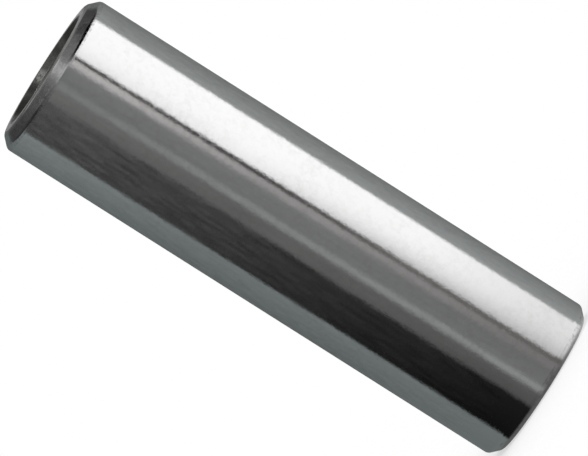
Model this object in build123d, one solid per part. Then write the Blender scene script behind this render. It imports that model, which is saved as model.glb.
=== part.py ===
from build123d import *
from math import radians, tan
import os

# Piston pin, also called a wrist or gudgeon pin: one piece of case-hardened steel that
# joins a piston to its connecting rod. It is a thick tube, ground outside and bored
# right through. Each end has a turned lead-in chamfer, which is rounded over where it
# meets the ground barrel and more fully where it meets the end, then a flat ground ring,
# and a countersunk mouth to the bore.
#
# The pin stands on its lower end ring. The origin is at the centre of that ring, and +Z
# runs along the pin's axis. Sizes are in millimetres.

pin_diameter = 16.0  # ground barrel, the running size
pin_length = 54.0  # from end ring to end ring
bore_diameter = 10.5
lead_chamfer = 1.0  # outer chamfer at 45 degrees, measured along the axis
mouth_chamfer = 0.6  # countersink of the bore at 45 degrees, measured along the axis
barrel_blend = 0.7  # radius between the barrel and its chamfer
shoulder_blend = 0.8  # radius between the chamfer and the end ring, less where the ring is narrow
flat_share = 0.6  # least part of the end ring that the shoulder's radius leaves flat
ring_edge_break = 0.06  # radius between the end ring and the countersink
bore_blend = 0.1  # radius between the countersink and the bore

pin_radius = pin_diameter / 2
bore_radius = bore_diameter / 2
wall = pin_radius - bore_radius
ring_width = wall - lead_chamfer - mouth_chamfer


def same_corners(section, corners):
    """The corners of a changed section that stand where the given ones stood."""
    return [min(section.vertices(), key=corner.distance_to) for corner in corners]


def shoulder_radius():
    """The shoulder's radius, which a narrow end ring limits."""
    rounded = (1 - flat_share) * ring_width
    return min(shoulder_blend, rounded / tan(radians(45) / 2))


def wall_section():
    """The wall in section on the XZ plane, with its chamfered and rounded corners."""
    section = Plane.XZ * Pos(bore_radius, 0) * Rectangle(
        wall, pin_length, align=(Align.MIN, Align.MIN)
    )
    section = chamfer(section.vertices().group_by(Axis.X)[-1], lead_chamfer)
    section = chamfer(section.vertices().group_by(Axis.X)[0], mouth_chamfer)

    bore_end, ring_inside, shoulder, barrel_end = section.vertices().group_by(Axis.X)
    section = fillet(barrel_end, barrel_blend)
    section = fillet(same_corners(section, shoulder), shoulder_radius())
    section = fillet(same_corners(section, ring_inside), ring_edge_break)
    return fillet(same_corners(section, bore_end), bore_blend)


def piston_pin():
    """The whole pin: its wall section turned once about the axis."""
    return revolve(wall_section(), Axis.Z)


os.makedirs("parts", exist_ok=True)
export_step(piston_pin(), "parts/piston_pin.step")
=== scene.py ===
"""The look of a piston pin: a hollow, ground steel pin that stands on its end.

The pin is one turned surface. Its wall's section, with every corner rounded, is carried
once round the axis, and each worked surface of it has a finish of its own: the mirror
ground barrel, the turned lead-in chamfers, the ground end rings, the countersunk mouths,
whose steel colour is painted dark as painted shade in their recess, and the drawn bore.
Round it stand the studio's floor, lamps and a light tent, whose panels only polished metal sees.
"""

import logging
import math
from dataclasses import dataclass
from enum import Enum

import bpy
import numpy as np
from mathutils import Matrix, Vector


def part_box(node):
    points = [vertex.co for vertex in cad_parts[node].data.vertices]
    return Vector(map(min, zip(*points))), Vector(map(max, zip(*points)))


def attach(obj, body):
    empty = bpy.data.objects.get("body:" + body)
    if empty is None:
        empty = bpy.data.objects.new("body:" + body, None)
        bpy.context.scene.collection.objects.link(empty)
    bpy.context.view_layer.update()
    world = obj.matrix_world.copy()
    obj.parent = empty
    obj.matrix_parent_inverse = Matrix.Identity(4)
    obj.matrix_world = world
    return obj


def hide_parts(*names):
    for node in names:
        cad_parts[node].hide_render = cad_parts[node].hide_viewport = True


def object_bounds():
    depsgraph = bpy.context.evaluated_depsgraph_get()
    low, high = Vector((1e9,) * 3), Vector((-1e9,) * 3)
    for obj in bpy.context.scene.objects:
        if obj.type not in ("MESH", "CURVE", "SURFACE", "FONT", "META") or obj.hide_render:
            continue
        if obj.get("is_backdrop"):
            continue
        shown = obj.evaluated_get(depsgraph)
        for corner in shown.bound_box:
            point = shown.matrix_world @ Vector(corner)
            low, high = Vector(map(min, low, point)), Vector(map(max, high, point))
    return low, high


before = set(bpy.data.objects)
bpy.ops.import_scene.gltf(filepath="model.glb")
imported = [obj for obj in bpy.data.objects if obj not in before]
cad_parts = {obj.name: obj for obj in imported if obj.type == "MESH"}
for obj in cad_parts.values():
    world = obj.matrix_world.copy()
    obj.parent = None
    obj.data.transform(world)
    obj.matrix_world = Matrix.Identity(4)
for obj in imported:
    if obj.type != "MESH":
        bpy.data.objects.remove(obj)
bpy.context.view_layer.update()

log = logging.getLogger("piston_pin")

MM = 0.001
MICRON = 0.000001

Colour = tuple[float, float, float]


class Surface(Enum):
    """The worked surfaces of the pin, in the order of their material slots."""

    BARREL = 0
    LEAD = 1
    RING = 2
    MOUTH = 3
    BORE = 4


class Lay(Enum):
    """Which way the tool's marks run."""

    ROUND = "round the pin"
    ALONG = "along the pin"


class NodeBench:
    """A material's or world's node tree, with short calls that add and join nodes."""

    def __init__(self, owner: bpy.types.ID) -> None:
        """Empties the tree of a material or world.

        Args:
            owner: the material or world that gets the nodes.
        """
        owner.use_nodes = True
        self.tree = owner.node_tree
        self.tree.nodes.clear()

    def add(self, kind: str, inputs: dict | None = None, **settings: object) -> bpy.types.Node:
        """Adds a node, sets it up and joins its inputs.

        Args:
            kind: the node's type in Blender.
            inputs: input names or numbers, each with a value or another node's output.
            settings: properties of the node.

        Returns:
            The new node.
        """
        node = self.tree.nodes.new(kind)
        for name, value in settings.items():
            setattr(node, name, value)
        for key, value in (inputs or {}).items():
            if isinstance(value, bpy.types.NodeSocket):
                self.tree.links.new(value, node.inputs[key])
            else:
                node.inputs[key].default_value = value
        return node

    def math(self, operation: str, *terms: object, clamp: bool = False) -> bpy.types.NodeSocket:
        """Adds a math node.

        Args:
            operation: the node's operation.
            terms: its inputs in order, numbers or sockets.
            clamp: whether the result is kept between 0 and 1.

        Returns:
            The socket of the result.
        """
        numbered = dict(enumerate(terms))
        node = self.add("ShaderNodeMath", numbered, operation=operation, use_clamp=clamp)
        return node.outputs[0]

    def span(self, value: bpy.types.NodeSocket, before: tuple[float, float],
             after: tuple[float, float]) -> bpy.types.NodeSocket:
        """Stretches one range of a value over another, smoothly and clamped at both ends.

        Args:
            value: the socket to read.
            before: the range of the value.
            after: the results at both ends of that range, and past them.

        Returns:
            The socket of the result.
        """
        ends = dict(zip(("From Min", "From Max", "To Min", "To Max"), (*before, *after)))
        node = self.add("ShaderNodeMapRange", {"Value": value, **ends},
                        interpolation_type="SMOOTHSTEP")
        return node.outputs[0]

    def noise(self, place: bpy.types.NodeSocket, size: float, **inputs: float) -> bpy.types.NodeSocket:
        """Adds smooth noise.

        Args:
            place: the point to read it at.
            size: size of its cells, in the point's unit.
            inputs: the node's other inputs.

        Returns:
            A socket with the noise, from 0 to 1.
        """
        node = self.add("ShaderNodeTexNoise", {"Vector": place, "Scale": 1 / size, **inputs})
        return node.outputs["Fac"]


PATCH_NOISE = (0.4, 0.7)  # the noise where a dull patch begins and where it is whole
SMEAR_NOISE = (0.35, 0.65)  # the same for the wide smears, along which the patches gather
SMEAR_PATCHES = 25 / 3  # how many patches a smear is wide
CLEAN_SHARE = 0.35  # how dull the patches between the smears are, beside those in them
MARKS_WEAR = 0.4  # share of the wear that the tool's marks hold; the patches hold the rest
WEAR_NOISE = (0.2, 0.8)  # the wear where the steel is smoothest and where it is coarsest
PIT_EDGE = 12.0  # how steeply a pit begins
MIX_FIRST, MIX_SECOND, MIX_RESULT = 6, 7, 2  # a mix node's sockets for colours


@dataclass(frozen=True)
class SteelFinish:
    """How one surface of the pin was worked: its colour, its gloss and its marks.

    Attributes:
        name: the finish in a maker's words.
        bright: colour of the clean steel; for the countersunk mouth it is painted dark as painted shade.
        dull: colour of the stained or burnished patches.
        smooth: roughness where the surface is best.
        coarse: roughness where it is worst.
        lay: which way the tool's marks run.
        pitch_mm: spacing of the tool's marks.
        depth_um: how deep they are.
        patch_mm: size of the mottled patches.
        dimple_um: how far the patches rise and sink.
        stain: share of dull colour in the darkest patches.
        stretch: how much the marks stretch a highlight across them.
        pit_mm: size of the fine dull pits.
        pit_limits: fine noise over which a pit lies, between the smears and in them.
        pit_dulling: roughness that the pits add.
        streak_mm: how far one of the tool's marks runs.
    """

    name: str
    bright: Colour
    dull: Colour
    smooth: float
    coarse: float
    lay: Lay = Lay.ROUND
    pitch_mm: float = 0.08
    depth_um: float = 0.1
    patch_mm: float = 0.6
    dimple_um: float = 0.1
    stain: float = 0.3
    stretch: float = 0.3
    pit_mm: float = 0.18
    pit_limits: tuple[float, float] = (0.71, 0.62)
    pit_dulling: float = 0.13
    streak_mm: float = 9.0

    def material(self) -> bpy.types.Material:
        """Makes the material of this finish.

        Returns:
            The material.
        """
        made = bpy.data.materials.new(self.name)
        bench = NodeBench(made)
        place = bench.add("ShaderNodeTexCoord").outputs["Object"]
        marks = self._marks(bench, place)
        patches = bench.noise(place, self.patch_mm * MM, Detail=5.0, Roughness=0.62)
        smears = bench.noise(place, self.patch_mm * SMEAR_PATCHES * MM, Detail=3.0, Distortion=0.8)
        dullness = bench.math("MULTIPLY", bench.span(patches, PATCH_NOISE, (0, 1)),
                              bench.span(smears, SMEAR_NOISE, (CLEAN_SHARE, 1)))
        colour = bench.add("ShaderNodeMix", {
            "Factor": bench.math("MULTIPLY", dullness, self.stain),
            MIX_FIRST: (*self.bright, 1), MIX_SECOND: (*self.dull, 1)}, data_type="RGBA")
        worn = bench.math("ADD", bench.math("MULTIPLY", marks, MARKS_WEAR),
                          bench.math("MULTIPLY", dullness, 1 - MARKS_WEAR))
        gloss = bench.math("ADD", bench.span(worn, WEAR_NOISE, (self.smooth, self.coarse)),
                           bench.math("MULTIPLY", self._pits(bench, place, smears), self.pit_dulling))
        bumps = bench.add("ShaderNodeBump", {"Height": patches, "Distance": self.dimple_um * MICRON})
        bumps = bench.add("ShaderNodeBump", {"Height": marks, "Distance": self.depth_um * MICRON,
                          "Normal": bumps.outputs[0]})
        steel = bench.add("ShaderNodeBsdfPrincipled", {
            "Base Color": colour.outputs[MIX_RESULT], "Metallic": 1.0, "Roughness": gloss,
            "Anisotropic": self.stretch, "Normal": bumps.outputs[0]})
        if self.lay is Lay.ROUND:
            turn = bench.add("ShaderNodeTangent", direction_type="RADIAL", axis="Z")
            bench.tree.links.new(turn.outputs[0], steel.inputs["Tangent"])
        bench.add("ShaderNodeOutputMaterial", {"Surface": steel.outputs[0]})
        return made

    def _pits(self, bench: NodeBench, place: bpy.types.NodeSocket,
              smears: bpy.types.NodeSocket) -> bpy.types.NodeSocket:
        """Adds the fine dull pits, which crowd where the smears are.

        A pit is where fine noise stands over a limit, and the limit is lower in a smear.

        Args:
            bench: the material's nodes.
            place: the point on the pin.
            smears: the noise of the wide smears.

        Returns:
            A socket that is 1 in a pit and 0 on the clean steel.
        """
        specks = bench.noise(place, self.pit_mm * MM, Detail=1.0)
        limit = bench.span(smears, SMEAR_NOISE, self.pit_limits)
        return bench.math("MULTIPLY", bench.math("SUBTRACT", specks, limit), PIT_EDGE, clamp=True)

    def _marks(self, bench: NodeBench, place: bpy.types.NodeSocket) -> bpy.types.NodeSocket:
        """Adds the noise of the tool's marks.

        It changes fast across the lay and slowly along it. For a lay round the pin it
        reads the distance from the axis and the height, both over the pitch, with X and
        Y over the length of a mark, so it has no seam.

        Args:
            bench: the material's nodes.
            place: the point on the pin.

        Returns:
            A socket with the marks' height, from 0 to 1.
        """
        fine = 1 / (self.pitch_mm * MM)
        slow = 1 / (self.streak_mm * MM)
        axes = bench.add("ShaderNodeSeparateXYZ", {0: place}).outputs
        if self.lay is Lay.ALONG:
            scaled = [bench.math("MULTIPLY", axes[0], fine), bench.math("MULTIPLY", axes[1], fine),
                      bench.math("MULTIPLY", axes[2], slow)]
            fourth = 0.0
        else:
            out = bench.math("SQRT", bench.math("ADD", bench.math("POWER", axes[0], 2.0),
                                                bench.math("POWER", axes[1], 2.0)))
            scaled = [bench.math("MULTIPLY", out, fine), bench.math("MULTIPLY", axes[2], fine),
                      bench.math("MULTIPLY", axes[0], slow)]
            fourth = bench.math("MULTIPLY", axes[1], slow)
        across = bench.add("ShaderNodeCombineXYZ", dict(enumerate(scaled))).outputs[0]
        return bench.add("ShaderNodeTexNoise", {"Vector": across, "W": fourth, "Scale": 1.0,
                         "Detail": 4.0, "Roughness": 0.6}, noise_dimensions="4D").outputs["Fac"]


GROUND = SteelFinish("superfinished_barrel", (0.64, 0.64, 0.64), (0.47, 0.46, 0.45), 0.045, 0.1,
                     pitch_mm=0.12, depth_um=0.02, patch_mm=0.65, dimple_um=11.0, stain=0.25)
TURNED = SteelFinish("turned_chamfer", (0.6, 0.6, 0.6), (0.3, 0.3, 0.29), 0.13, 0.3,
                     pitch_mm=0.07, depth_um=0.3, patch_mm=0.4, dimple_um=14.0, stain=0.8)
FACED = SteelFinish("ground_end_ring", (0.62, 0.62, 0.61), (0.38, 0.38, 0.37), 0.16, 0.32,
                    pitch_mm=0.06, depth_um=0.25, patch_mm=0.4, dimple_um=1.5, stain=0.6)
# The countersunk mouth's steel colours are painted far darker than the other steels: painted shade for
# the recess of the mouth, not the colour of the steel.
COUNTERSUNK_PAINTED_SHADE = SteelFinish("countersunk_mouth_painted_shade", (0.25, 0.25, 0.24), (0.12, 0.115, 0.11), 0.13, 0.28,
                          pitch_mm=0.08, depth_um=0.5, patch_mm=0.35, dimple_um=2.0, stain=0.8)
DRAWN = SteelFinish("drawn_bore", (0.4, 0.39, 0.37), (0.2, 0.18, 0.16), 0.3, 0.55, lay=Lay.ALONG,
                    pitch_mm=0.12, depth_um=1.0, patch_mm=0.9, dimple_um=2.0, stain=0.9, stretch=0.0)

FINISHES = {Surface.BARREL: GROUND, Surface.LEAD: TURNED, Surface.RING: FACED,
            Surface.MOUTH: COUNTERSUNK_PAINTED_SHADE, Surface.BORE: DRAWN}


@dataclass
class PistonPin:
    """The whole pin, as one closed surface turned round its axis.

    Attributes:
        node: the CAD node that this piece stands for.
        bore_mm: radius of the bore.
        lead_mm: size of the outer chamfers.
        mouth_mm: size of the countersinks.
        barrel_blend_mm: radius between barrel and chamfer.
        shoulder_blend_mm: radius between chamfer and end ring.
        ring_edge_mm: radius between end ring and countersink.
        bore_blend_mm: radius between countersink and bore.
        guard_mm: how far past a rounded corner its guard points stand.
        steps: points along each rounded corner.
        turns: points round the pin.
    """

    node: str = "piston_pin"
    bore_mm: float = 5.25
    lead_mm: float = 1.0
    mouth_mm: float = 0.6
    barrel_blend_mm: float = 0.7
    shoulder_blend_mm: float = 0.8
    ring_edge_mm: float = 0.06
    bore_blend_mm: float = 0.1
    guard_mm: float = 0.012
    steps: int = 9
    turns: int = 512

    def corners(self) -> tuple[np.ndarray, np.ndarray, list[Surface]]:
        """Lists the corners of the wall's section, once round it.

        The order is up the barrel, in over the upper end, down the bore and out over the
        lower end.

        Returns:
            The corners as distance from the axis and height, their radii, all in
            millimetres, and the surface that follows each corner.
        """
        low, high = (np.array(corner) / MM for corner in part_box(self.node))
        out, foot, top = max(high[0], high[1]), low[2], high[2]
        lead, mouth, bore = self.lead_mm, self.mouth_mm, self.bore_mm
        places = [
            (out, top - lead), (out - lead, top), (bore + mouth, top), (bore, top - mouth),
            (bore, foot + mouth), (bore + mouth, foot), (out - lead, foot), (out, foot + lead),
        ]
        blends = [self.barrel_blend_mm, self.shoulder_blend_mm, self.ring_edge_mm, self.bore_blend_mm]
        after = [Surface.LEAD, Surface.RING, Surface.MOUTH, Surface.BORE,
                 Surface.MOUTH, Surface.RING, Surface.LEAD, Surface.BARREL]
        return np.array(places), np.array(blends + blends[::-1]), after

    def section(self) -> tuple[np.ndarray, np.ndarray]:
        """Works out the section's outline with its corners rounded.

        At each corner, a circle of the corner's radius touches both edges. Its centre
        lies on the line that halves the corner, at the radius over the sine of the half
        angle, and it touches the edges at the radius over that angle's tangent. The arc
        is walked from touch to touch in equal angles. Two guard points stand just past
        it on each edge, so that the flats stay flat when they are shaded smoothly.

        Returns:
            The outline's points, one row each, and the material slot of the strip that
            follows each point.
        """
        corner, blend, after = self.corners()
        back = np.roll(corner, 1, axis=0) - corner
        ahead = np.roll(corner, -1, axis=0) - corner
        back /= np.linalg.norm(back, axis=1, keepdims=True)
        ahead /= np.linalg.norm(ahead, axis=1, keepdims=True)
        half = np.arccos(np.sum(back * ahead, axis=1)) / 2
        bisector = back + ahead
        bisector /= np.linalg.norm(bisector, axis=1, keepdims=True)
        centre = corner + bisector * (blend / np.sin(half))[:, None]
        reach = (blend / np.tan(half))[:, None]
        first, last = corner + back * reach, corner + ahead * reach
        start = np.arctan2(*(first - centre).T[::-1])
        sweep = np.arctan2(*(last - centre).T[::-1]) - start
        sweep = (sweep + np.pi) % (2 * np.pi) - np.pi
        angle = start[:, None] + sweep[:, None] * np.linspace(0, 1, self.steps)
        arcs = centre[:, None] + blend[:, None, None] * np.stack([np.cos(angle), np.sin(angle)], -1)
        points = np.concatenate([(first + back * self.guard_mm)[:, None], arcs,
                                 (last + ahead * self.guard_mm)[:, None]], axis=1)
        per_corner = self.steps + 2
        following = np.array([surface.value for surface in after])
        slots = np.repeat(following, per_corner).reshape(-1, per_corner)
        slots[:, 0] = np.roll(following, 1)
        return points.reshape(-1, 2) * MM, slots.ravel()

    def build(self) -> bpy.types.Object:
        """Turns the section about the axis and dresses it.

        A point stands at its distance from the axis times the cosine and sine of the
        turn, at its own height. The grid closes on itself both ways.

        Returns:
            The pin.
        """
        outline, slots = self.section()
        turn = np.linspace(0, 2 * np.pi, self.turns, endpoint=False)
        around = np.stack([np.cos(turn), np.sin(turn)], -1)
        count = len(outline)
        points = np.empty((count, self.turns, 3))
        points[..., :2] = outline[:, None, :1] * around
        points[..., 2] = outline[:, None, 1]
        row, column = np.meshgrid(np.arange(count), np.arange(self.turns), indexing="ij")
        next_row, next_column = (row + 1) % count, (column + 1) % self.turns
        quads = np.stack([row * self.turns + column, row * self.turns + next_column,
                          next_row * self.turns + next_column, next_row * self.turns + column], -1)
        pin = mesh_object("turned_pin", points.reshape(-1, 3), quads.reshape(-1, 4))
        for surface in Surface:
            pin.data.materials.append(FINISHES[surface].material())
        pin.data.polygons.foreach_set("material_index", np.repeat(slots, self.turns).astype(np.int32))
        pin.data.polygons.foreach_set("use_smooth", np.ones(len(quads) * self.turns, bool))
        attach(pin, "root")
        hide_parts(self.node)
        return pin


def mesh_object(name: str, points: np.ndarray, quads: np.ndarray) -> bpy.types.Object:
    """Puts points and four-sided faces into a new object at the origin.

    Args:
        name: the object's name.
        points: one point to a row, in metres.
        quads: four point numbers to a row.

    Returns:
        The object, linked into the scene.
    """
    mesh = bpy.data.meshes.new(name)
    mesh.from_pydata(points.tolist(), [], quads.tolist())
    mesh.update()
    made = bpy.data.objects.new(name, mesh)
    bpy.context.scene.collection.objects.link(made)
    return made


LEVELS = (47.0, 32.0, 14.0, 0.0)  # heights mirrored by the pin's head, waist, knee and foot, in mm


@dataclass(frozen=True)
class Panel:
    """One upright panel of the light tent.

    A panel stands where the front of the pin mirrors it, so its edges are directions of
    mirrored light, in degrees: 0 goes back to the front, -90 to +X and 90 to -X. It runs
    on until the next panel covers it. The brightness is given beside the pin's head,
    waist, knee and foot.

    Attributes:
        name: what the panel is in the studio.
        start: direction of its first edge.
        end: direction at which the second brightness is reached.
        near: brightness at the first edge, from head to foot.
        far: brightness at the end, from head to foot.
        soft: width of the soft first edge.
        lean: how much further the first edge stands at the head than at the foot.
        ease: power of the change from the first edge to the end, from head to foot.
        tint: colour of the light.
        mottle: how uneven the light is, as a share of it.
    """

    name: str
    start: float
    end: float
    near: tuple[float, float, float, float]
    far: tuple[float, float, float, float]
    soft: float = 6.0
    lean: float = 0.0
    ease: tuple[float, float, float, float] = (1.0,) * 4
    tint: Colour = (1.0, 1.0, 1.0)
    mottle: float = 0.15

    def light(self, toward: np.ndarray, height: np.ndarray) -> tuple[np.ndarray, np.ndarray]:
        """Gives the panel's cover and light.

        The cover rises over the soft edge as three squares less two cubes. The light
        changes with the height between the four given levels, and across the panel with
        a power of the way across.

        Args:
            toward: directions of mirrored light, in degrees.
            height: heights over the floor, in millimetres.

        Returns:
            The cover from 0 to 1, and the colour of the light with its unevenness.
        """
        first = self.start + self.lean * np.clip(height / LEVELS[0], 0, 1)
        rise = np.clip((toward - first) / self.soft + 0.5, 0, 1)
        near, far, ease = (np.interp(height, LEVELS[::-1], given[::-1])
                           for given in (self.near, self.far, self.ease))
        across = np.clip((toward - self.start) / (self.end - self.start), 0, 1) ** ease
        light = (near + (far - near) * across)[..., None] * np.array(self.tint)
        light = np.insert(light, 3, self.mottle, axis=-1)
        return (3 - 2 * rise) * rise**2, light


PANELS = (
    Panel("back card", -200, -182, (0.12,) * 4, (0.4, 0.13, 0.125, 0.125)),
    Panel("right backdrop", -185, -104, (0.125, 0.122, 0.116, 0.11), (0.42, 0.42, 0.44, 0.44), 2,
          tint=(0.97, 1.02, 1.01)),
    Panel("right softbox", -105, -41, (1.51, 1.515, 1.455, 1.16), (1.26, 1.29, 0.73, 0.67), 7, lean=1.4,
          ease=(4.3, 4.3, 4.3, 3.0), mottle=0.0),
    Panel("gap beside the softbox", -40.75, -34, (0.135, 0.075, 0.185, 0.18), (0.06, 0.055, 0.175, 0.18),
          5.5, lean=3.45, tint=(1.04, 0.99, 0.97)),
    Panel("fill strip", -33.1, -22, (0.67, 0.45, 0.35, 0.25), (0.63, 0.44, 0.34, 0.26), 4.5,
          lean=1.2, tint=(1.02, 0.99, 0.985)),
    Panel("front card", -22.3, 0, (0.275, 0.265, 0.235, 0.205), (0.225, 0.23, 0.235, 0.235), 8,
          tint=(0.99, 1.015, 1.003)),
    Panel("front streak", 3, 12, (0.28, 0.34, 0.37, 0.4), (0.29, 0.32, 0.33, 0.32), 7,
          tint=(0.98, 1.02, 1.01)),
    Panel("front apron", 12, 29, (0.215, 0.18, 0.16, 0.143), (0.18, 0.16, 0.143, 0.11), 7,
          tint=(1.0, 1.015, 0.99)),
    Panel("left flag", 32.8, 88, (0.115, 0.074, 0.035, 0.016), (0.088, 0.058, 0.02, 0.008), 8,
          mottle=0.75),
    Panel("left backdrop", 92.9, 200, (0.298, 0.257, 0.25, 0.232), (0.09, 0.09, 0.083, 0.145), 6.5,
          tint=(0.93, 1.04, 1.035)),
    Panel("back card", 184, 200, (0.3, 0.12, 0.12, 0.14), (0.12,) * 4, 2),
)


@dataclass(frozen=True)
class RoofLamp:
    """A lamp in the roof of the tent: a rectangle with soft edges.

    Attributes:
        name: what it lights.
        first_mm: its left front corner, as X and Y.
        last_mm: its right back corner.
        light: brightness that it adds to the roof.
        soft_mm: width of its soft edges.
    """

    name: str
    first_mm: tuple[float, float]
    last_mm: tuple[float, float]
    light: float
    soft_mm: float = 4.0

    def glow(self, place: np.ndarray) -> np.ndarray:
        """Gives the lamp's light, which rises and falls straight over the soft edges.

        Args:
            place: points of the roof, as X and Y in millimetres.

        Returns:
            The brightness at each point.
        """
        inward = np.minimum(place - self.first_mm, np.array(self.last_mm) - place)
        return self.light * np.prod(np.clip(inward / self.soft_mm + 0.5, 0, 1), axis=-1)


ROOF_LAMPS = (
    RoofLamp("front chamfer", (0.0, -32.0), (12.0, -3.0), 0.31),
    RoofLamp("countersink", (1.5, -1.0), (11.5, 8.0), 0.62),
    RoofLamp("left of the countersink", (-16.5, -1.0), (11.5, 8.0), 0.2),
    RoofLamp("shoulder", (-24.0, 14.0), (24.0, 34.0), 0.27, 6.0),
)


@dataclass(frozen=True)
class Canopy:
    """The light above the panels: a ring of cards and a domed roof with lamps in it.

    Only the bright and dark of the pin's upper end come from here. The cards are black
    beside the softbox and pale behind the pin, and the roof darkens toward its rim.

    Attributes:
        around: azimuths at which the cards' brightness is given, in degrees.
        low: brightness at the foot of the cards.
        high: brightness at their head, which is also that of the roof's rim.
        inside: brightness of the roof within the rim, at the same azimuths.
        middle: brightness of the roof's middle.
        middle_share: share of the tent's radius over which the middle turns to the inside.
        rim: share of the tent's radius at which the rim begins and ends.
    """

    around: tuple[float, ...] = (
        -180, -165, -150, -120, -108, -50, -32, -20, 0, 10, 40, 60, 110, 140, 165, 180)
    low: tuple[float, ...] = (
        0.1, 0.38, 0.08, 0.05, 0.0, 0.0, 0.12, 0.5, 0.45, 0.2, 0.1, 0.03, 0.03, 0.06, 0.1, 0.1)
    high: tuple[float, ...] = (
        0.12, 0.38, 0.07, 0.12, 0.0, 0.0, 0.15, 0.7, 0.6, 0.2, 0.12, 0.04, 0.08, 0.09, 0.14, 0.16)
    inside: tuple[float, ...] = (
        0.08, 0.06, 0.05, 0.08, 0.2, 0.25, 0.27, 0.33, 0.3, 0.26, 0.2, 0.16, 0.11, 0.12, 0.1, 0.08)
    middle: float = 0.1
    middle_share: float = 0.2
    rim: tuple[float, float] = (0.72, 0.9)

    def cards(self, azimuth: np.ndarray, up: np.ndarray) -> np.ndarray:
        """Gives the light of the cards, straight from foot to head.

        Args:
            azimuth: degrees about the pin.
            up: height within the cards, from 0 to 1.

        Returns:
            The brightness at each point.
        """
        low, high = (np.interp(azimuth, self.around, side) for side in (self.low, self.high))
        return low + (high - low) * up

    def roof(self, place: np.ndarray, radius_mm: float) -> np.ndarray:
        """Gives the light of the roof: its inside, its rim and its lamps.

        From the middle out, the brightness goes straight to that of the inside, stays
        there, and goes straight to that of the cards' head over the rim. The lamps add
        theirs.

        Args:
            place: points over the pin, as X and Y in millimetres.
            radius_mm: the tent's radius.

        Returns:
            The brightness at each point.
        """
        share = np.hypot(place[..., 0], place[..., 1]) / radius_mm
        azimuth = np.degrees(np.arctan2(-place[..., 0], -place[..., 1]))
        high, inside = (np.interp(azimuth, self.around, side) for side in (self.high, self.inside))
        outward = np.clip((share - self.rim[0]) / (self.rim[1] - self.rim[0]), 0, 1)
        inside = self.middle + (inside - self.middle) * np.clip(share / self.middle_share, 0, 1)
        return inside + (high - inside) * outward + sum(lamp.glow(place) for lamp in ROOF_LAMPS)


@dataclass(frozen=True)
class FloorShade:
    """The light of the tent's floor right beside the pin, which its foot mirrors.

    Attributes:
        azimuths: where the brightness is given, in degrees.
        light: the brightness there, and past both.
        reach_mm: how far from the axis the shade reaches.
        soft_mm: width of its soft edge.
        bulge_mm: how much further it reaches before the left flag.
        bulge_at: azimuth of that bulge.
        bulge_width: its width, in degrees.
    """

    azimuths: tuple[float, float] = (-60.0, -15.0)
    light: tuple[float, float] = (0.55, 0.16)
    reach_mm: float = 7.34
    soft_mm: float = 0.12
    bulge_mm: float = 0.07
    bulge_at: float = 45.0
    bulge_width: float = 25.0

    def over(self, light: np.ndarray, azimuth: np.ndarray, away: np.ndarray) -> np.ndarray:
        """Lays the shade over the floor's light.

        The reach swells with the bulge as e to the power of minus the squared way from
        its azimuth over its width, and the cover falls straight over the soft edge.

        Args:
            light: colour of the light at each point.
            azimuth: degrees about the pin, for each point.
            away: distance from the axis, for each point.

        Returns:
            The colour of the light with the shade.
        """
        swell = np.exp(-((azimuth - self.bulge_at) / self.bulge_width) ** 2)
        reach = self.reach_mm + self.bulge_mm * swell
        cover = np.clip((reach - away) / self.soft_mm + 0.5, 0, 1)[..., None]
        shade = np.interp(azimuth, self.azimuths, self.light)[..., None]
        return light + (shade - light) * cover


@dataclass(frozen=True)
class TentCloth:
    """The material of the tent, which shines with the light that its points hold.

    Attributes:
        cells_per_mm: how many cells of unevenness a millimetre holds, along X, Y and Z.
        gain: how far the noise of the unevenness is stretched about its middle.
    """

    cells_per_mm: tuple[float, float, float] = (0.25, 0.25, 3.5)
    gain: float = 8.0

    def material(self) -> bpy.types.Material:
        """Makes the material, which reads each point's colour and unevenness.

        Returns:
            The material.
        """
        cloth = bpy.data.materials.new("tent_cloth")
        bench = NodeBench(cloth)
        read = bench.add("ShaderNodeAttribute", attribute_name="glow").outputs
        place = bench.add("ShaderNodeTexCoord").outputs["Object"]
        cells = bench.add("ShaderNodeVectorMath", {0: place, 1: Vector(self.cells_per_mm) / MM},
                          operation="MULTIPLY").outputs[0]
        weave = bench.noise(cells, 1.0, Detail=2.0, Roughness=0.7)
        uneven = bench.math("MULTIPLY", bench.math("SUBTRACT", weave, 0.5), self.gain)
        strength = bench.math("MULTIPLY_ADD", uneven, read["Alpha"], 1.0)
        shine = bench.add("ShaderNodeEmission", {
            "Color": read["Color"], "Strength": bench.math("MAXIMUM", strength, 0.0)})
        bench.add("ShaderNodeOutputMaterial", {"Surface": shine.outputs[0]})
        cloth.cycles.emission_sampling = "NONE"
        return cloth


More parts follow.
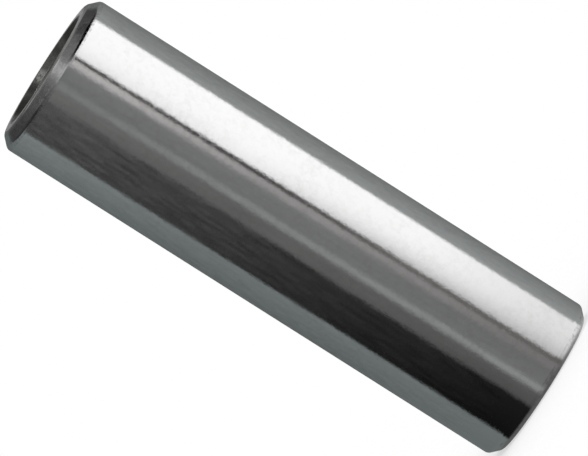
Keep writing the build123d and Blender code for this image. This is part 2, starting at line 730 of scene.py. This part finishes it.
@dataclass(frozen=True)
class LightTent:
    """The tent of panels round the pin, which only glossy rays see.

    The wedge behind the pin is past what its front can mirror. Its spokes stand for
    directions of mirrored light past 180 degrees.

    Attributes:
        canopy: the cards over the panels and the roof.
        shade: the light right beside the pin.
        cloth: what the tent is made of.
        pin_mm: radius of the pin.
        radius_mm: distance of the walls from the pin's axis.
        inner_mm: radius at which the tent's floor ends under the pin.
        floor_mm: height of that floor over the studio's.
        foot_mm: height at which the panels begin.
        wall_mm: height of the panels.
        gap_mm: gap between the panels and the cards over them.
        cards_mm: height at which the cards end.
        roof_mm: height of the roof's middle.
        rows: points up the floor, the panels, the cards and the roof.
        spokes: points round the pin, apart from the wedge behind it.
        wedge_spokes: points over each half of that wedge, with its edge.
        wedge: directions of mirrored light for its edge and its middle.
        near_mm: distances from the axis at the pin's foot.
        near_as_mm: distances at which the spokes are laid for them.
    """

    canopy: Canopy = Canopy()
    shade: FloorShade = FloorShade()
    cloth: TentCloth = TentCloth()
    pin_mm: float = 8.0
    radius_mm: float = 45.0
    inner_mm: float = 6.85
    floor_mm: float = 0.05
    foot_mm: float = 0.4
    wall_mm: float = 70.0
    gap_mm: float = 0.2
    cards_mm: float = 92.0
    roof_mm: float = 105.0
    rows: tuple[int, int, int, int] = (110, 40, 24, 60)
    spokes: int = 721
    wedge_spokes: int = 24
    wedge: tuple[float, float] = (182.0, 200.0)
    near_mm: tuple[float, ...] = (7.0, 8.0, 12.0, 13.0)
    near_as_mm: tuple[float, ...] = (9.9, 9.25, 12.0, 13.0)

    def outline(self) -> tuple[np.ndarray, np.ndarray]:
        """Works out the tent's outline: over the floor, up the walls and in over the roof.

        The floor's points stand closer toward the pin, each the same share further out
        than the last, and the roof is a quarter of an ellipse.

        Returns:
            The outline's distances from the axis and its heights, in millimetres.
        """
        floors, walls, cards, roofs = self.rows
        quarter = np.linspace(0, np.pi / 2, roofs)
        radius = np.concatenate([np.geomspace(self.inner_mm, self.radius_mm, floors),
                                 np.full(walls + cards, self.radius_mm),
                                 self.radius_mm * np.cos(quarter)])
        height = np.concatenate([np.full(floors, self.floor_mm),
                                 np.linspace(self.foot_mm, self.wall_mm, walls),
                                 np.linspace(self.wall_mm + self.gap_mm, self.cards_mm, cards),
                                 self.cards_mm + (self.roof_mm - self.cards_mm) * np.sin(quarter)])
        return radius, height

    def lay_spokes(self, radius: np.ndarray) -> tuple[np.ndarray, np.ndarray]:
        """Lays out the tent's spokes, which follow the light that the pin's front mirrors.

        Light that leaves the front in one direction starts at half that direction on the
        pin, so at a distance it stands at the direction less the arc sine of the pin's
        radius over the distance times the sine of the half. Beside the pin's foot the
        chamfer throws it further. The spokes of the wedge behind the pin stand at even
        steps. From the walls up, all spokes stay upright.

        Args:
            radius: distances from the axis, one for each row of the tent.

        Returns:
            The azimuth of each point in degrees, a row for each distance, and the
            direction of mirrored light that each spoke stands for.
        """
        toward = np.linspace(-180, 180, self.spokes)
        reach = np.interp(radius, self.near_mm, self.near_as_mm)
        reach = np.maximum(reach, radius)[:, None]
        azimuth = toward - np.degrees(np.arcsin(self.pin_mm / reach * np.sin(np.radians(toward / 2))))
        share = np.linspace(0, 1, self.wedge_spokes)[1:]
        wedge = azimuth[:, -1:] + (180 - azimuth[:, -1:]) * share
        azimuth = np.concatenate([-wedge[:, ::-1], azimuth, wedge], axis=1)
        floors = self.rows[0]
        azimuth[floors:] = azimuth[floors]
        outer = self.wedge[0] + (self.wedge[1] - self.wedge[0]) * share
        return azimuth, np.concatenate([-outer[::-1], toward, outer])

    def light(self, points: np.ndarray, azimuth: np.ndarray, toward: np.ndarray) -> np.ndarray:
        """Gives every point of the tent its light.

        Each panel covers those before it. The floor is even, with the shade over it, and
        the cards and the roof are even too.

        Args:
            points: the grid of points, in millimetres.
            azimuth: degrees about the pin, for each point.
            toward: the direction of mirrored light that each spoke stands for.

        Returns:
            The colour of the light at each point, and its unevenness.
        """
        floors, walls, cards, _ = self.rows
        floor, card = slice(0, floors), slice(floors + walls, floors + walls + cards)
        roof = slice(floors + walls + cards, None)
        level = points[..., 2]
        light = np.zeros((*azimuth.shape, 4))
        for panel in PANELS:
            cover, shine = panel.light(np.broadcast_to(toward, azimuth.shape), level)
            light += (shine - light) * cover[..., None]
        light[floor, :, 3] = 0
        away = np.hypot(points[floor, :, 0], points[floor, :, 1])
        light[floor, :, :3] = self.shade.over(light[floor, :, :3], azimuth[floor], away)
        up = (level[card] - self.wall_mm) / (self.cards_mm - self.wall_mm)
        light[card, :, :3] = self.canopy.cards(azimuth[card], up)[..., None]
        light[roof, :, :3] = self.canopy.roof(points[roof, :, :2], self.radius_mm)[..., None]
        return light

    def build(self) -> bpy.types.Object:
        """Makes the tent as one surface, its outline carried round the pin on the spokes.

        A point stands at its distance from the axis times minus the sine and cosine of
        its azimuth, at its outline's height.

        Returns:
            The tent, hidden from all but glossy rays.
        """
        radius, height = self.outline()
        azimuth, toward = self.lay_spokes(radius)
        turn = np.radians(azimuth)
        level = np.broadcast_to(height[:, None], azimuth.shape)
        points = np.stack([-radius[:, None] * np.sin(turn), -radius[:, None] * np.cos(turn), level], -1)
        rows, columns = azimuth.shape
        row, column = np.meshgrid(np.arange(rows - 1), np.arange(columns - 1), indexing="ij")
        corner = row * columns + column
        quads = np.stack([corner, corner + 1, corner + columns + 1, corner + columns], -1)
        tent = mesh_object("light_tent", points.reshape(-1, 3) * MM, quads.reshape(-1, 4))
        glow = tent.data.attributes.new("glow", "FLOAT_COLOR", "POINT")
        glow.data.foreach_set("color", self.light(points, azimuth, toward).ravel())
        tent.data.materials.append(self.cloth.material())
        tent.visible_camera = tent.visible_diffuse = tent.visible_shadow = False
        tent.visible_transmission = tent.visible_volume_scatter = False
        tent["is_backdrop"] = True
        return tent


@dataclass(frozen=True)
class StudioLamp:
    """A soft square lamp that faces the pin and isn't mirrored in it.

    Attributes:
        name: the lamp's name.
        place_m: where it hangs.
        size_m: its width.
        power_w: its power.
    """

    name: str
    place_m: tuple[float, float, float]
    size_m: float
    power_w: float

    def build(self) -> bpy.types.Object:
        """Hangs the lamp.

        Returns:
            The lamp.
        """
        light = bpy.data.lights.new(self.name, "AREA")
        light.shape, light.size, light.energy = "SQUARE", self.size_m, self.power_w
        lamp = bpy.data.objects.new(self.name, light)
        lamp.location = self.place_m
        lamp.rotation_euler = Vector(self.place_m).to_track_quat("Z", "Y").to_euler()
        lamp.visible_glossy = False
        bpy.context.scene.collection.objects.link(lamp)
        return lamp


GRAIN_NOISE = (0.3, 0.7)  # the noise where the paper's grain is darkest and where it is palest


@dataclass(frozen=True)
class Studio:
    """The pale floor, the white surroundings and the lamps.

    Attributes:
        lamps: the lamps.
        floor_m: half the floor's width.
        paper: how much light the floor's paper returns.
        grain: how much more or less its grain returns.
        grain_mm: size of that grain.
        lift: light added to the paper for the eye, so that it reads white.
        fade_mm: distances from the pin between which the paper turns to plain white.
        ambient: light from all round.
    """

    lamps: tuple[StudioLamp, ...] = (
        StudioLamp("overhead_lamp", (0.25, -0.1, 1.5), size_m=1.2, power_w=8.0),
        StudioLamp("right_lamp", (1.1, -0.5, 0.7), size_m=0.9, power_w=3.0),
    )
    floor_m: float = 8.0
    paper: float = 0.48
    grain: float = 0.01
    grain_mm: float = 1.1
    lift: float = 0.57
    fade_mm: tuple[float, float] = (60.0, 160.0)
    ambient: float = 0.55

    def floor(self) -> bpy.types.Object:
        """Makes the floor, whose paper turns to plain white away from the pin.

        Returns:
            The floor.
        """
        half = self.floor_m
        corners = np.array([(-half, -half, 0), (half, -half, 0), (half, half, 0), (-half, half, 0)])
        floor = mesh_object("studio_floor", corners, np.array([(0, 1, 2, 3)]))
        floor.data.materials.append(self.paper_material())
        floor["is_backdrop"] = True
        return floor

    def paper_material(self) -> bpy.types.Material:
        """Makes the floor's paper.

        The eye, polished metal and glass see it lifted, and plain white far out. All
        other rays see it as it is.

        Returns:
            The material.
        """
        paper = bpy.data.materials.new("pale_paper")
        bench = NodeBench(paper)
        place = bench.add("ShaderNodeTexCoord").outputs["Object"]
        away = bench.add("ShaderNodeVectorMath", {0: place}, operation="LENGTH").outputs["Value"]
        plain = bench.span(away, (self.fade_mm[0] * MM, self.fade_mm[1] * MM), (0, 1))
        grain = bench.noise(place, self.grain_mm * MM, Detail=3.0)
        tone = bench.span(grain, GRAIN_NOISE, (self.paper - self.grain, self.paper + self.grain))
        lit = bench.add("ShaderNodeBsdfDiffuse", {"Color": tone})
        lift = bench.add("ShaderNodeEmission", {"Strength": self.lift})
        both = bench.add("ShaderNodeAddShader", {0: lit.outputs[0], 1: lift.outputs[0]})
        white = bench.add("ShaderNodeEmission", {"Strength": 1.0})
        shown = bench.add("ShaderNodeMixShader", {0: plain, 1: both.outputs[0], 2: white.outputs[0]})
        seen = seen_directly(bench)
        result = bench.add("ShaderNodeMixShader", {0: seen, 1: lit.outputs[0], 2: shown.outputs[0]})
        bench.add("ShaderNodeOutputMaterial", {"Surface": result.outputs[0]})
        paper.cycles.emission_sampling = "NONE"
        return paper

    def surroundings(self) -> bpy.types.World:
        """Makes the world: white to the eye and to polished metal, soft light elsewhere.

        Returns:
            The world.
        """
        world = bpy.data.worlds.new("studio_surroundings")
        bench = NodeBench(world)
        strength = bench.add("ShaderNodeMapRange", {"Value": seen_directly(bench),
                             "To Min": self.ambient, "To Max": 1.0})
        sky = bench.add("ShaderNodeBackground", {"Strength": strength.outputs[0],
                        "Color": (1, 1, 1, 1)})
        bench.add("ShaderNodeOutputWorld", {"Surface": sky.outputs[0]})
        world.cycles.sampling_method = "NONE"
        bpy.context.scene.world = world
        return world

    def build(self) -> None:
        """Makes the floor, the surroundings and the lamps."""
        self.floor()
        self.surroundings()
        for lamp in self.lamps:
            lamp.build()


def seen_directly(bench: NodeBench) -> bpy.types.NodeSocket:
    """Tells the rays of the eye, of polished metal and of glass from the others.

    Args:
        bench: the nodes to add to.

    Returns:
        A socket that is 1 for those rays and 0 for the rest.
    """
    path = bench.add("ShaderNodeLightPath").outputs
    metal = bench.math("MAXIMUM", path["Is Camera Ray"], path["Is Glossy Ray"])
    return bench.math("MAXIMUM", metal, path["Is Transmission Ray"])


@dataclass(frozen=True)
class LongLens:
    """The camera: a long lens, rolled so that the upright pin lies on a slant.

    Attributes:
        lens_mm: focal length.
        sensor_mm: width of the picture's frame in the camera.
        distance_m: distance from the aim point.
        elevation_deg: height over the horizon.
        roll_deg: how far the camera is rolled clockwise, which turns the picture the
            other way.
        aim_mm: where it aims, right of and above the pin's middle as it is framed.
        clip_m: nearest and furthest distance that it sees.
    """

    lens_mm: float = 1207.0
    sensor_mm: float = 36.0
    distance_m: float = 1.8
    elevation_deg: float = 4.4
    roll_deg: float = 57.65
    aim_mm: tuple[float, float] = (-0.037, -0.052)
    clip_m: tuple[float, float] = (0.1, 50.0)

    def build(self) -> bpy.types.Object:
        """Makes the camera and gives it to the scene.

        It stands back from the pin's middle along its line of sight, which rises with
        the elevation, and is then rolled about that line.

        Returns:
            The camera.
        """
        low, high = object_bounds()
        rise = math.radians(self.elevation_deg)
        right = Vector((1, 0, 0))
        back = Vector((0, -math.cos(rise), math.sin(rise)))
        stance = Matrix((right, back.cross(right), back)).transposed()
        stance = stance @ Matrix.Rotation(-math.radians(self.roll_deg), 3, "Z")
        shift = stance @ Vector((self.aim_mm[0], self.aim_mm[1], 0)) * MM
        lens = bpy.data.cameras.new("long_lens")
        lens.lens, lens.sensor_width = self.lens_mm, self.sensor_mm
        lens.clip_start, lens.clip_end = self.clip_m
        camera = bpy.data.objects.new("long_lens", lens)
        camera.matrix_world = Matrix.Translation((low + high) / 2 + shift
                                                 + back * self.distance_m) @ stance.to_4x4()
        bpy.context.scene.collection.objects.link(camera)
        bpy.context.scene.camera = camera
        return camera


def main() -> None:
    """Builds the pin, the studio, the light tent and the camera."""
    logging.basicConfig(level=logging.INFO, format="%(name)s: %(message)s")
    pin = PistonPin().build()
    log.info("%s: %d points, %d faces", pin.name, len(pin.data.vertices), len(pin.data.polygons))
    Studio().build()
    tent = LightTent().build()
    log.info("%s: %d panels", tent.name, len(PANELS))
    camera = LongLens().build()
    log.info("%s: %.0f mm", camera.name, camera.data.lens)
    bpy.context.scene.view_settings.view_transform = "Standard"


if __name__ == "__main__":
    main()
